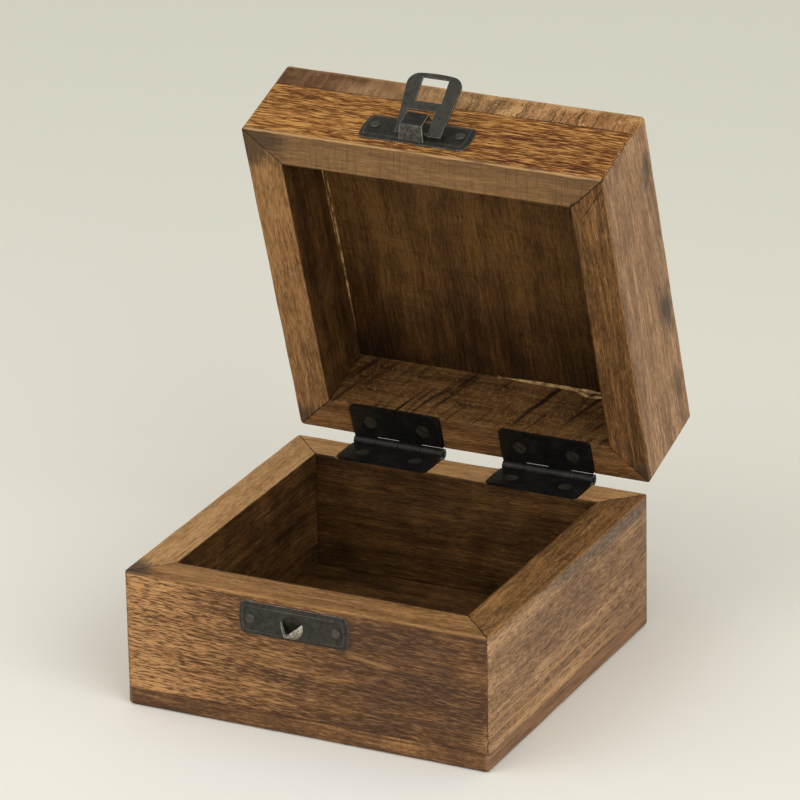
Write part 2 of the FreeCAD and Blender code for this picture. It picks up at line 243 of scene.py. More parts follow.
class Timber:
    """One board's finish: where its fibres run, and the marks that are laid over them."""

    def __init__(self, name, body, grain, seed, dash=(3.4, 0.32), sway=0.4, slope=0.0):
        self.material, self.shader, place = new_material(name)
        turn = shut[body]
        sockets = {
            "Vector": place,
            "Location": turn.translation / mm,
            "Rotation": turn.to_euler(),
            "Scale": (1 / mm, 1 / mm, 1 / mm),
        }
        self.place = place.node("ShaderNodeMapping", {}, sockets)
        self.x, self.y, self.z = self.place.parts()
        self.flank = half_width / mm - abs(self.x)
        self.face = half_depth / mm - abs(self.y)
        self.rim = (base_rim if body == "base" else lid_rim) / mm
        self.seam = (bottom_high.z if body == "base" else top_low.z) / mm
        self.depth = self.face if grain == "x" else self.flank
        self.along, across = (self.x, self.y) if grain == "x" else (self.y, self.x)
        reach = half_width if grain == "x" else half_depth
        self.share = self.along * (0.5 * mm / reach) + 0.5
        # Each noise is drawn out to lengths in millimetres, along the grain first
        wander = self.place.stretched(24, 24, 24).swing(1.0, seed)
        ripple = self.place.stretched(5, 5, 5).swing(1.0, seed + 0.5)
        shift = wander * (2 * sway) + ripple * (0.25 * sway)
        parts = {"X": self.along, "Y": across + shift, "Z": self.z + shift + self.along * slope}
        self.fibres = self.place.node("ShaderNodeCombineXYZ", {}, parts)
        self.bands = self.fibres.stretched(70, 4.5, 4.5).swing(2.0, seed + 1)
        self.streaks = self.fibres.stretched(16, 0.8, 0.8).swing(3.0, seed + 2, 0.6)
        length, width = dash
        self.dashes = self.fibres.stretched(length, width, width).swing(2.0, seed + 3, 0.6)
        self.blotch = self.place.stretched(9, 9, 9).swing(2.0, seed + 4)
        self.hairs = self.fibres.stretched(1.6, 0.2, 0.2).swing(1.0, seed + 5)
        self.pores = (self.dashes + self.bands * 0.15).fade(0.04, -0.13)
        self.ridges = (self.dashes + self.streaks * 0.25).fade(0.05, 0.24)

    def ground(self, palette, levels, band=0.5, streak=0.6, blotch=0.3, hair=0.4):
        """Colour from a palette, at levels (share of the length, level) that bands and streaks shift."""
        stops = [(share, (level, level, level, 1.0)) for share, level in levels]
        drifted = self.share + self.blotch * 0.12
        base = drifted.node("ShaderNodeValToRGB", {"stops": stops}, {"Fac": drifted})
        level = base + self.bands * band + self.streaks * streak + self.blotch * blotch + self.hairs * hair
        steps = [(i / (len(palette) - 1), tone) for i, tone in enumerate(palette)]
        return level.node("ShaderNodeValToRGB", {"stops": steps}, {"Fac": level})

    def ring(self, centre, radius, soft=0.5, long=1.0):
        """1 near a point, fading out at a ragged radius, which is longer along y by a factor."""
        centred = self.place.node("ShaderNodeVectorMath", {"operation": "SUBTRACT"}, {0: self.place, 1: centre})
        drawn = centred.stretched(1, long, 1)
        away = drawn.node("ShaderNodeVectorMath", {"operation": "LENGTH"}, {0: drawn}, "Value")
        return (away + (self.blotch + self.dashes) * (0.5 * radius)).fade(radius, radius * soft)

    def line(self, start, end, width):
        """1 along a line from (along, z) to (along, z), with ragged sides and fading ends."""
        part = (self.along - start[0]) * (1 / (end[0] - start[0]))
        middle = part * (end[1] - start[1]) + start[1]
        away = abs(self.z - middle + self.blotch * 0.8) + self.dashes * width
        return away.fade(width, width * 0.3) * part.fade(-0.1, 0.15) * part.fade(1.1, 0.8)

    def worn(self, width):
        """1 on the outer corners and rim edges, ragged and about as wide as told."""
        low, high = self.flank.least(self.face), self.flank.most(self.face)
        edge = low.most(high.least(abs(self.z - self.rim)))
        return (edge + self.dashes * width + self.blotch * width).fade(width, 0.2 * width)

    def boxed(self, outside, rim, inside, rubbed=0.2, width=0.4, seam=0.35):
        """A wall's outside, rim and inside, with rubbed edges and dark lines in its mitres and seam."""
        from_rim = abs(self.z - self.rim) + self.streaks * 0.5 + self.dashes * 0.9
        tone = outside.mixed(rim, from_rim.fade(0.9, 0.4))
        tone = tone.mixed(bare, self.worn(width) * rubbed)
        inner = wall / mm
        tone = tone.mixed(inside, self.depth.fade(inner - 0.5, inner - 0.15))
        mitre = (abs(self.flank - self.face) + (self.streaks + self.dashes) * 0.3).fade(0.4, 0.08)
        joint = (abs(self.z - self.seam) + self.blotch * 0.3 + self.dashes * 0.2).fade(0.4, 0.1)
        near_rim = abs(self.z - self.rim).fade(2.0, 0.4)
        return tone.mixed(crack, (mitre * (near_rim * 0.4 + 0.45)).most(joint * seam))

    def finish(self, tone, gloss=0.62):
        """Feeds the colour, with roughness and bump from the grain."""
        rough = gloss + self.streaks * 0.15 + self.pores * 0.12
        height = self.streaks * 0.2 - self.pores * 0.5 + self.dashes * 0.4
        sockets = {"Height": height, "Strength": 0.25, "Distance": 0.12 * mm}
        bump = height.node("ShaderNodeBump", {}, sockets)
        feed(self.shader, Base_Color=tone, Roughness=rough, Normal=bump, Specular_IOR_Level=0.15)
        return self.material


crack = colour(30, 19, 11)
print("timber ready, with cracks of", [round(part, 3) for part in crack[:3]])

# %% [markdown]
# The boards were oiled by hand, so no two have one colour. Each palette runs from the dark heart of the wood to its
# pale sapwood. The outside of the base is brown, its right side and the lid's are greyed by light, the lid's front is
# warm and reddish, and the insides are dark, partly from their stain and partly as painted shade.

# %% Stains
gold = colour(193, 145, 94)
tan = colour(160, 115, 73)
brown = colour(112, 78, 49)
umber = colour(78, 55, 39)
soot = colour(72, 56, 42)
slate = colour(98, 86, 78)
bare = colour(196, 152, 102)
dash_brown = colour(64, 41, 27)
oiled = [umber, brown, tan, gold]
greyed = [colour(92, 71, 56), colour(124, 96, 72), colour(150, 116, 86), colour(182, 145, 107)]
warm = [colour(92, 50, 17), colour(136, 82, 33), colour(172, 116, 55), colour(208, 158, 91)]
# The insides are dark partly from their stain and partly as painted shade.
inner_stain_and_shade = [colour(34, 19, 6), colour(64, 40, 16), colour(90, 60, 28), colour(116, 81, 40)]
rim_brown = [colour(78, 53, 29), colour(112, 78, 44), colour(142, 102, 60), colour(168, 124, 77)]
rim_gold = [colour(112, 80, 48), colour(146, 107, 66), colour(172, 130, 83), colour(192, 149, 98)]
even = [(0, 0.5), (1, 0.5)]
woods = {}
print(len(oiled), "steps in each palette")

# %% [markdown]
# Every wall has three finishes: its outside, its rim and its inside. The rims and insides are alike all round, so two
# helpers mix them from their palettes.

# %% Rims and insides


def inside_of(timber, palette=inner_stain_and_shade):
    return timber.ground(palette, even, blotch=0.5).mixed(palette[0], timber.pores * 0.5)


def rim_of(timber, levels, palette=rim_brown):
    tone = timber.ground(palette, levels, band=0.6, streak=0.9, hair=0.7)
    return tone.mixed(palette[0], timber.pores * 0.4).mixed(palette[-1], timber.ridges * 0.2)


print("rims from", len(rim_brown), "stains, insides from", len(inner_stain_and_shade))

# %% [markdown]
# The base's front is the board that one looks at first. Its left third is golden with many dark pores, and to the
# right it darkens to a smooth red-brown. A pale streak leaves the keeper's right end, sloping down, and the lower
# right corner is rubbed bare. Each mark is a mask, and each mask mixes one more stain over the ones before.

# %% Base front
front = Timber("base_front_wood", "base", "x", 1, dash=(3.2, 0.24), sway=0.3, slope=0.03)
tone = front.ground(oiled, [(0, 0.9), (0.12, 0.8), (0.25, 0.42), (0.45, 0.3), (0.7, 0.12), (1, 0.2)])
golden_side = front.share.fade(0.75, 0.1)
tone = tone.mixed(gold, front.ridges * (golden_side * 0.4 + 0.2))
tone = tone.mixed(dash_brown, front.pores * (golden_side * 0.3 + 0.55))
tone = tone.mixed(gold, front.line((11.5, 24.5), (25, 23.2), 0.7) * 0.35)
tone = tone.mixed(gold, front.ring((50, -48, 7), 7, 0.1) * front.dashes.fade(-0.2, 0.2) * 0.6)
rim = rim_of(front, [(0, 0.72), (0.5, 0.62), (1, 0.78)])
rim = rim.mixed(soot, front.ring((-48, -46, 36), 7, 0.35) * 0.85)
woods["base_front_wall"] = front.finish(front.boxed(tone, rim, inside_of(front)))
print(front.material.name, "finished")

# %% [markdown]
# The base's right side is greyed by light, most of all along its top, with a dusky band across its middle and three
# pale lines near the foot that follow the grain. The back and left walls are plain oiled wood.

# %% Other base walls
right = Timber("base_right_wood", "base", "y", 2, dash=(2.6, 0.28), sway=0.5, slope=-0.04)
tone = right.ground(greyed, [(0, 0.66), (1, 0.56)], band=0.9)
dusk = (abs(right.z - 25) + right.bands * 6 + right.blotch * 4).fade(9, 2) * right.share.fade(0.05, 0.4)
tone = tone.mixed(colour(104, 82, 66), dusk * 0.5)
grey_top = (abs(right.z - 34.5) + right.blotch * 2 + right.streaks * 3).fade(3.8, 1.2) * right.share.fade(0.25, 0.5)
tone = tone.mixed(slate, grey_top * 0.9)
tone = tone.mixed(gold, right.ridges * 0.35).mixed(colour(94, 67, 48), right.pores * 0.65)
for height, width in ((6.6, 0.6), (9.4, 0.45), (12.5, 0.35)):
    tone = tone.mixed(gold, right.line((-48, height), (30, height - 0.4), width) * 0.6)
rim = rim_of(right, [(0, 0.55), (0.4, 0.34), (1, 0.16)]).mixed(colour(146, 98, 44), right.ridges * 0.3)
woods["base_right_wall"] = right.finish(right.boxed(tone, rim, inside_of(right), seam=0.2))

for side, grain, seed, levels in (("back", "x", 3, even), ("left", "y", 4, [(0, 0.75), (1, 0.45)])):
    board = Timber("base_" + side + "_wood", "base", grain, seed)
    tone = board.ground(oiled, levels).mixed(gold, board.ridges * 0.25).mixed(dash_brown, board.pores * 0.6)
    rim = rim_of(board, [(0, 0.84), (1, 0.8)], rim_gold).mixed(soot, board.ring((-48, -45, 36), 7, 0.35) * 0.85)
    woods["base_" + side + "_wall"] = board.finish(board.boxed(tone, rim, inside_of(board)))
print(len(woods), "base walls finished")

# %% [markdown]
# The two glued-on boards show their ends. The bottom is an even chocolate brown with fine upright saw lines, and its
# upper face is the dark floor of the box. Its left and right sides are end grain, paler and mottled.

# %% Bottom board
bottom = Timber("bottom_wood", "base", "x", 11, dash=(2.4, 0.4))
tone = bottom.ground(oiled, [(0, 0.22), (0.5, 0.4), (1, 0.36)], band=0.4, streak=0.8, blotch=0.3)
tone = tone.mixed(dash_brown, bottom.pores * 0.3).mixed(tan, bottom.ridges * 0.2)
lines = bottom.place.stretched(0.5, 0.5, 6).swing(3.0, 31, 0.6)
tone = tone.mixed(umber, lines.fade(0.0, 0.35) * 0.4)
side_grain = bottom.place.stretched(9, 14, 0.8).noise(4.0, 32, 0.6)
side_stops = [(0.3, colour(92, 66, 48)), (0.45, colour(126, 92, 67)), (0.7, colour(150, 113, 83))]
sides = side_grain.node("ShaderNodeValToRGB", {"stops": side_stops}, {"Fac": side_grain})
tone = tone.mixed(sides, bottom.flank.fade(1.6, 0.4))
floor = bottom.z.fade(bottom.seam - 0.3, bottom.seam - 0.1) * bottom.flank.least(bottom.face).fade(9, 10)
tone = tone.mixed(inside_of(bottom), floor)
seam = (abs(bottom.z - bottom.seam) + bottom.blotch * 0.3).fade(0.4, 0.1)
tone = tone.mixed(crack, seam * (bottom.face.fade(2, 1) * 0.35).most(bottom.flank.fade(2, 1) * 0.2))
woods["bottom_board"] = bottom.finish(tone)
print(bottom.material.name, "finished")

# %% [markdown]
# The sides of the lid stood in the light. They are greyed, with long dark smears near the top that run on from the
# walls into the top board. One helper finishes both, and because it works from places on the shut box, the smears
# meet at the seam.

# %% Weathered sides
# Each smear has a middle, a radius, a factor for its length and a strength
lid_smears = [
    ((50, -35, 60.5), 4.2, 1.8, 0.8), ((50, 9, 60.5), 5.0, 2.2, 0.85), ((50, 32, 60), 3.4, 3.0, 0.5),
    ((50, -4, 60.5), 3.2, 10.0, 0.35), ((50, 0, 38), 2.4, 14.0, 0.35),
]


def weathered(timber):
    """The lid's side: greyed wood with long dark smears near its top."""
    tone = timber.ground(greyed, [(0, 0.72), (0.5, 0.64), (1, 0.72)], band=0.7, streak=0.9, hair=0.6)
    tone = tone.mixed(colour(104, 72, 54), timber.pores * 0.5)
    for centre, radius, long, strength in lid_smears:
        tone = tone.mixed(colour(70, 60, 56), timber.ring(centre, radius, 0.2, long) * strength)
    return tone


print(len(lid_smears), "smears on the lid's sides")

# %% [markdown]
# The lid's top has its grain from front to back, so the edge above the latch is end grain: dark at the left, pale and
# blotchy to the right. Patches, specks, upright rays and short cracks are four masks of different sizes, laid one
# after the other over a colour that changes from left to right.

# %% End grain of the top board
# Each crack has a place across the board and a width
end_cracks = [(4, 0.3), (10, 0.6), (18, 0.3), (27, 0.45), (29.5, 0.35), (34, 0.5), (38.5, 0.35)]

top = Timber("lid_top_wood", "lid", "y", 5, dash=(3.6, 0.34))
ends = top.x * (0.5 * mm / half_width) + 0.5 + top.blotch * 0.3
end_grain = ends.node("ShaderNodeValToRGB", {"stops": [
    (0.0, colour(86, 57, 35)), (0.2, colour(100, 68, 42)), (0.4, colour(162, 125, 84)), (1.0, colour(158, 107, 57)),
]}, {"Fac": ends})
patches = top.place.stretched(7, 20, 4).swing(2.0, 33)
pale_half = ends.fade(0.3, 0.6)
end_grain = end_grain.mixed(brown, patches.fade(0.0, -0.18) * 0.3)
end_grain = end_grain.mixed(bare, patches.fade(-0.02, 0.18) * (pale_half * 0.85 + 0.1))
specks = top.place.stretched(0.55, 6, 0.6).swing(2.0, 34, 0.7)
end_grain = end_grain.mixed(dash_brown, specks.fade(0.02, -0.2) * (pale_half * 0.3 + 0.3))
end_grain = end_grain.mixed(bare, specks.fade(0.1, 0.3) * pale_half * 0.6)
bend = top.place.stretched(4, 4, 3).swing(2.0, 35)
bent = top.x + bend * 1.2
upright = bent.node("ShaderNodeCombineXYZ", {}, {"X": bent, "Z": top.z})
rays = upright.stretched(1.3, 20, 14).swing(3.0, 36, 0.65)
end_grain = end_grain.mixed(dash_brown, rays.fade(0.0, -0.28) * 0.42)
end_grain = end_grain.mixed(bare, rays.fade(0.0, 0.28) * (pale_half * 0.5 + 0.1))
for at, width in end_cracks:
    split = (abs(top.x - at + bend * 1.6) + specks * 0.3).fade(width, width * 0.3)
    end_grain = end_grain.mixed(crack, split * (top.z + bend * 3).fade(63.5, 61.5) * 0.6)
print(len(end_cracks), "cracks in the end grain")

# %% [markdown]
# The rest of the top board is plain oiled wood with a pale crown, partly worn and partly a painted highlight along
# its outer edges. Its underside is the ceiling of the lid, which has painted shade towards the hinges and scores
# across it from the saw.

# %% Top board
tone = top.ground(oiled, even).mixed(dash_brown, top.pores * 0.5)
tone = tone.mixed(end_grain, top.face.fade(1.6, 0.4))
sides = weathered(top)
tone = tone.mixed(sides, top.flank.fade(1.6, 0.4) * top.face.fade(0.2, 1.2))
# The pale crown is worn wood and also a painted highlight along the top board's outer edges.
crown_wear_and_highlight = (abs(top.z - top_high.z / mm) + top.flank.least(top.face) + top.streaks * 0.8).fade(1.6, 0.4)
tone = tone.mixed(bare, crown_wear_and_highlight * 0.4)
ceiling = top.z.fade(top.seam + 0.3, top.seam + 0.1) * top.flank.least(top.face).fade(9, 10)
# Painted shade: the ceiling darkens towards the hinges, deep inside the open lid.
ceiling_with_painted_shade = top.ground(inner_stain_and_shade, [(0, 0.88), (0.5, 0.88), (1, 0.02)], blotch=0.5)
ceiling_with_painted_shade = ceiling_with_painted_shade.mixed(inner_stain_and_shade[0], top.pores * 0.4)
scores = top.place.stretched(14, 0.5, 14).swing(3.0, 37, 0.6).fade(0.05, 0.35)
ceiling_with_painted_shade = ceiling_with_painted_shade.mixed(inner_stain_and_shade[0], scores * 0.45)
tone = tone.mixed(ceiling_with_painted_shade, ceiling)
seam = (abs(top.z - top.seam) + top.blotch * 0.4 + specks * 0.3).fade(0.4, 0.1)
front_seam = abs(top.x - 5).fade(6, 25) * 0.45 + 0.3
tone = tone.mixed(crack, seam * (top.face.fade(2, 1) * front_seam).most(top.flank.fade(2, 1) * 0.1))
woods["lid_top_board"] = top.finish(tone)
print(len(woods), "boards finished")

# %% [markdown]
# The lid's front shows the strongest figure: short red-brown dashes between pale ridges. Its rim was left as the saw
# made it, grey-brown with fine marks across the grain, and its left corner is sooty. Saw marks are noise that is
# squeezed along the board and drawn out across it.

# %% Lid front


def saw_marks(timber, slant, spacing, seed):
    """Fine lines across a board, slanted by a share of the height."""
    shifted = timber.along + (timber.z + timber.depth) * slant + timber.blotch * (0.5 * spacing)
    place = timber.place.node("ShaderNodeCombineXYZ", {}, {"X": shifted, "Y": timber.depth, "Z": timber.z})
    return place.stretched(spacing, 20, 20).swing(3.0, seed, 0.6).fade(0.0, 0.35)


front = Timber("lid_front_wood", "lid", "x", 6, dash=(4.4, 0.26), sway=0.2)
tone = front.ground(warm, [(0, 0.72), (0.3, 0.53), (0.5, 0.44), (1, 0.44)])
tone = tone.mixed(warm[-1], front.ridges * 0.75)
tone = tone.mixed(colour(74, 36, 12), front.pores * 0.88)
rim = rim_of(front, [(0, 0.64), (0.6, 0.56), (1, 0.08)]).mixed(colour(136, 108, 77), 0.4)
rim = rim.mixed(colour(78, 56, 35), saw_marks(front, 0.15, 0.5, 41) * 0.5)
rim = rim.mixed(soot, front.ring((-49, -47, 37), 13, 0.5) * 0.8)
rim = rim.mixed(crack, front.ring((40.6, -38.6, 37), 1.3, 0.3))
woods["lid_front_wall"] = front.finish(front.boxed(tone, rim, inside_of(front), 0.75, 0.5, 0.5))
print(front.material.name, "finished")

# %% [markdown]
# The rims of the lid's sides are darker on the right than on the left, and darker at the corners beside the hinges,
# where the left one also darkens along its length. The front left corner is sooty where hands take hold of it. The
# right one has a short split beside its front mitre.

# %% Lid sides
for side, seed, levels, smudge in (
    ("left", 9, [(0, 0.95), (0.5, 0.85), (1, 0.75)], (-49, 47, 37)),
    ("right", 7, [(0, 0.24), (0.6, 0.3), (1, 0.26)], (49, 47, 37)),
):
    board = Timber("lid_" + side + "_wood", "lid", "y", seed, dash=(3.6, 0.28), sway=0.4)
    rim = rim_of(board, levels).mixed(soot, board.ring(smudge, 9, 0.4) * 0.8)
    rim = rim.mixed(soot, board.ring((-49, -47, 37), 13, 0.5) * 0.8)
    rim = rim.mixed(umber, board.pores * board.x.fade(0, -10) * 0.12)
    split = (abs(board.face - board.flank * 1.5 - 2) + board.dashes * 0.4).fade(0.4, 0.1)
    split = split * board.flank.fade(8, 6) * board.y.fade(-10, -20) * board.x.fade(0, 10)
    rim = rim.mixed(crack, split * 0.7)
    tone = board.boxed(weathered(board), rim, inside_of(board), seam=0.1)
    woods["lid_" + side + "_wall"] = board.finish(tone)
    print(board.material.name, "finished")

# %% [markdown]
# Inside the lid, the back wall was never planed. Pale specks lie over it, and the slanted dark marks of a coarse saw.

# %% Lid back
back = Timber("lid_back_wood", "lid", "x", 8)
tone = back.ground(oiled, even).mixed(dash_brown, back.pores * 0.6)
# This inner face is dark partly from its rough stain and partly as painted shade inside the lid.
rough = back.ground([colour(42, 25, 10), colour(78, 51, 25), colour(106, 74, 39), colour(136, 98, 56)], even)
specks = back.place.stretched(0.8, 0.8, 0.8).swing(2.0, 42, 0.7)
rough = rough.mixed(colour(140, 102, 60), specks.fade(0.05, 0.3) * 0.7)
rough = rough.mixed(colour(26, 14, 5), saw_marks(back, -0.4, 1.7, 43) * 0.95)
rim = rim_of(back, [(0, 0.35), (1, 0.3)])
woods["lid_back_wall"] = back.finish(back.boxed(tone, rim, rough))
print(len(woods), "boards finished")

# %% [markdown]
# The boards are sawn and eased the way a maker works, and each step has its operator: bisect_plane saws, bevel eases.
# Light cuts along the length then give points that a little noise can move, so that no edge is perfectly straight.
# The noise depends on the place alone, so neighbouring boards still meet. Blender takes the seed of this noise from
# the clock unless one is set, so a fixed seed gives the same boards on every run.

# %% Sawing helpers
cut_spacing = 4.0 * mm
unevenness = 0.12 * mm
uneven_length = 9.0 * mm
uneven_seed = 5
noise.seed_set(uneven_seed)


def everything(bm):
    return bm.verts[:] + bm.edges[:] + bm.faces[:]


def ease(bm, edges, radius, segments):
    return bmesh.ops.bevel(
        bm, geom=edges, offset=radius, affect="EDGES", segments=segments, profile=0.5, material=-1
    )


def moved_points(grown):
    return [item for item in grown["geom"] if isinstance(item, bmesh.types.BMVert)]


def extrude(bm, faces, travel):
    grown = bmesh.ops.extrude_face_region(bm, geom=faces)
    bmesh.ops.translate(bm, verts=moved_points(grown), vec=travel)
    bmesh.ops.recalc_face_normals(bm, faces=bm.faces)


def saw(bm, point, away):
    """Cuts everything off on the side that away points to, and closes the cut."""
    bmesh.ops.bisect_plane(bm, geom=everything(bm), plane_co=point, plane_no=away, clear_outer=True)
    bmesh.ops.holes_fill(bm, edges=bm.edges, sides=0)


def near(value, target):
    return abs(value - target) < 0.01 * mm


def edges_where(bm, test):
    """Edges whose two ends both pass a test."""
    return [edge for edge in bm.edges if all(test(vertex.co) for vertex in edge.verts)]


def unevened(bm):
    """Adds light cuts through the boards and moves their points a little."""
    for axis, reach in ((Vector((1, 0, 0)), half_width), (Vector((0, 1, 0)), half_depth)):
        count = round(2 * reach / cut_spacing)
        for index in range(1, count):
            at = axis * (reach * (2 * index / count - 1))
            bmesh.ops.bisect_plane(bm, geom=everything(bm), plane_co=at, plane_no=axis)
    for vertex in bm.verts:
        vertex.co += noise.noise_vector(vertex.co / uneven_length) * unevenness


def add_piece(name, bm, body, material, node=None):
    """Opens a piece that was modelled shut and hangs it on its body, in place of a node if one is named."""
    bmesh.ops.transform(bm, matrix=shut[body].inverted(), verts=bm.verts)
    mesh = bpy.data.meshes.new(name)
    bm.to_mesh(mesh)
    bm.free()
    mesh.materials.append(material)
    piece = bpy.data.objects.new(name, mesh)
    bpy.context.scene.collection.objects.link(piece)
    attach(piece, body)
    if node:
        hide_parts(node)
    print(name, len(mesh.polygons), "faces")


print("edges wander by up to", round(unevenness / mm, 2), "mm")

# %% [markdown]
# A wall starts as its outline seen from outside, with the hinge pockets cut out of its rim, and is extruded to its
# thickness. Its outer corners are rounded, its ends are sawn off at 45 degrees, and its rim is eased. Each is made as
# a front wall and then turned to its own side.

# %% Walls
rim_ease = 0.4 * mm
seam_ease = 0.06 * mm
corner_round = 1.2 * mm
pocket_clearance = 0.15 * mm
pocket_depth = 0.5 * mm
turns = {"front": 0, "right": 90, "back": 180, "left": 270}


def sawn_wall(side, low, high, rim_up, pockets):
    """One wall between two heights, with its rim at the top or the bottom."""
    lengthways = side in ("front", "back")
    half_length = half_width if lengthways else half_depth
    outside = half_depth if lengthways else half_width
    rim, seam = (high, low) if rim_up else (low, high)
    inwards = pocket_depth if seam > rim else -pocket_depth
    outline = [(-half_length, seam), (-half_length, rim)]
    for start, end in pockets:
        outline += [(start, rim), (start, rim + inwards), (end, rim + inwards), (end, rim)]
    outline += [(half_length, rim), (half_length, seam)]
    bm = bmesh.new()
    face = bm.faces.new([bm.verts.new((x, -outside, z)) for x, z in outline])
    extrude(bm, [face], (0, wall, 0))
    corners = edges_where(bm, lambda at: near(abs(at.x), half_length) and near(at.y, -outside))
    ease(bm, [edge for edge in corners if not near(edge.verts[0].co.z, edge.verts[1].co.z)], corner_round, 6)
    for end in (-1, 1):
        saw(bm, (end * half_length, -outside, 0), (end, 1, 0))
    rims = edges_where(bm, lambda at: near(at.z, rim))
    mitred = half_length - outside
    mitres = [edge for edge in rims if all(near(abs(v.co.x) + v.co.y, mitred) for v in edge.verts)]
    ease(bm, [edge for edge in rims if edge not in mitres], rim_ease, 4)
    ease(bm, edges_where(bm, lambda at: near(at.z, seam)), seam_ease, 2)
    bmesh.ops.rotate(bm, verts=bm.verts, matrix=Matrix.Rotation(math.radians(turns[side]), 3, "Z"))
    unevened(bm)
    return bm


hinge_pockets = []
for leaf in ("right_hinge_base_leaf", "left_hinge_base_leaf"):
    low, high = shut_box(leaf)
    hinge_pockets.append((-high.x - pocket_clearance, -low.x + pocket_clearance))
for side in turns:
    pockets = hinge_pockets if side == "back" else []
    for part, low, high in (("base", base_wall_low.z, base_rim), ("lid", lid_rim, lid_wall_high.z)):
        node = part + "_" + side + "_wall"
        bm = sawn_wall(side, low, high, part == "base", pockets)
        add_piece(node + "_wood", bm, part, woods[node], node)

# %% [markdown]
# The top and the bottom are plain boards. Each starts as a cube, its upright corners are rounded like the walls',
# its outer edges get a small rounding from years of handling, and its glued edges a very fine one, which leaves a
# thin seam against the walls.

# %% Boards
foot_round = 1.2 * mm
crown_round = 0.8 * mm


def sawn_board(low, high, outer, radius):
    """A glued-on board, rounded along its outer edges and eased along its seam."""
    bm = bmesh.new()
    bmesh.ops.create_cube(bm, size=1.0)
    bmesh.ops.scale(bm, vec=(2 * half_width, 2 * half_depth, high - low), verts=bm.verts)
    bmesh.ops.translate(bm, vec=(0, 0, (low + high) / 2), verts=bm.verts)
    uprights = [edge for edge in bm.edges if not near(edge.verts[0].co.z, edge.verts[1].co.z)]
    ease(bm, uprights, corner_round, 6)
    inner = high if outer == low else low
    ease(bm, edges_where(bm, lambda at: near(at.z, outer)), radius, 8)
    ease(bm, edges_where(bm, lambda at: near(at.z, inner)), seam_ease, 2)
    unevened(bm)
    return bm


for node, body, low, high, outer, radius in (
    ("bottom_board", "base", bottom_low.z, bottom_high.z, bottom_low.z, foot_round),
    ("lid_top_board", "lid", top_low.z, top_high.z, top_high.z, crown_round),
):
    add_piece(node + "_wood", sawn_board(low, high, outer, radius), body, woods[node], node)

# %% [markdown]
# The latch is stamped from thin steel that was blackened in an oil bath. Handling rubs the colour off the crests
# first, so the finish needs to know where the crests are. The bevels that are cut along a piece's edges are
# marked in an attribute of its faces, and the shader mixes bright steel in where the mark and a scuffed noise agree.
# The same mark also paints a sheen on the tongue's lower face and a highlight, with wear, on the nose's right side.
# Nails and hinges have no such mark, and so they stay black.

# %% Blackened steel


def blackened(name, dark, pale, bright, shine):
    """Mottled black metal, made bright where its faces are marked: rubbed steel, and on some facets a painted sheen.
    """
    material, shader, place = new_material(name)
    mottle = place.stretched(1.4 * mm, 1.4 * mm, 1.4 * mm).noise(4.0, 3.0, 0.6)
    scuffs = place.stretched(0.7 * mm, 0.7 * mm, 0.7 * mm).noise(3.0, 5.0, 0.6)
    tone = mottle.node("ShaderNodeValToRGB", {"stops": [(0.32, dark), (0.68, pale)]}, {"Fac": mottle})
    rust = place.stretched(4 * mm, 4 * mm, 4 * mm).noise(3.0, 7.0).fade(0.52, 0.68)
    tone = tone.mixed(colour(58, 47, 38), rust * 0.6)
    mark = place.node("ShaderNodeAttribute", {"attribute_name": "worn"}, {}, "Fac")
    # The mark is wear, and on the tongue's lower face and the nose's right side it is also a painted sheen and
    # highlight.
    rubbed = mark * (scuffs.fade(0.42, 0.6) * 0.65 + 0.35)
    tone = tone.mixed(bright, rubbed)
    bump = scuffs.node("ShaderNodeBump", {}, {"Height": mottle + scuffs * 0.5, "Strength": 0.3, "Distance": 0.1 * mm})
    feed(shader, Base_Color=tone, Roughness=mottle * 0.3 + shine - rubbed * 0.1, Metallic=0.6, Normal=bump)
    return material


hinge_black = blackened("hinge_black", colour(18, 18, 17), colour(38, 36, 33), colour(90, 88, 82), 0.3)
latch_black = blackened("latch_black", colour(32, 31, 27), colour(66, 63, 55), colour(196, 190, 174), 0.3)
hasp_black = blackened("hasp_black", colour(18, 17, 14), colour(48, 46, 40), colour(196, 190, 174), 0.3)
nail_grey = blackened("nail_grey", colour(54, 52, 46), colour(88, 85, 76), colour(150, 146, 134), 0.35)
screw_black = blackened("screw_black", colour(58, 52, 44), colour(92, 84, 72), colour(120, 116, 106), 0.2)
print(hinge_black.name, "and", latch_black.name, "mixed")

# %% [markdown]
# A stamped plate is an outline with bowed ends and rounded corners. It is extruded by the thickness of its cut edge,
# and the middle is then inset and raised, which leaves the sloping border that the stamp gives it. Corner
# rounding is a bevel of the outline's points, and the bevel of the edges after it is what catches the light.

# %% Stamped plates
plate_bow, bow_round = 0.45 * mm, 2.6 * mm
plate_corner = 1.0 * mm
plate_edge = 0.25 * mm
plate_border = 1.2 * mm
sheet = 0.7 * mm
crease = 0.1 * mm
stamped_angle, cut_angle = 12, 40
pip_from_middle, pip_above = 7.4 * mm, 0.05 * mm
pip_root, pip_tip, pip_height = 0.55 * mm, 0.25 * mm, 0.3 * mm


def outlined(bm, points, out):
    """A face from (x, z) points, standing out in front of the box."""
    return bm.faces.new([bm.verts.new((x, -half_depth - out, z)) for x, z in points])


def round_points(bm, points, radius, segments):
    bmesh.ops.bevel(bm, geom=points, offset=radius, affect="VERTICES", segments=segments, profile=0.5, material=-1)


def rub_edges(bm, radius, least_angle, wear=0.35, crest_wear=0.15):
    """Bevels the edges sharper than an angle, and marks the new faces as worn, those that lie flat a little less."""
    worn = bm.faces.layers.float.get("worn") or bm.faces.layers.float.new("worn")
    sharp = [edge for edge in bm.edges if edge.calc_face_angle(0.0) > math.radians(least_angle)]
    for face in ease(bm, sharp, radius, 2)["faces"]:
        face[worn] = crest_wear if face.normal.y < -0.9 else wear


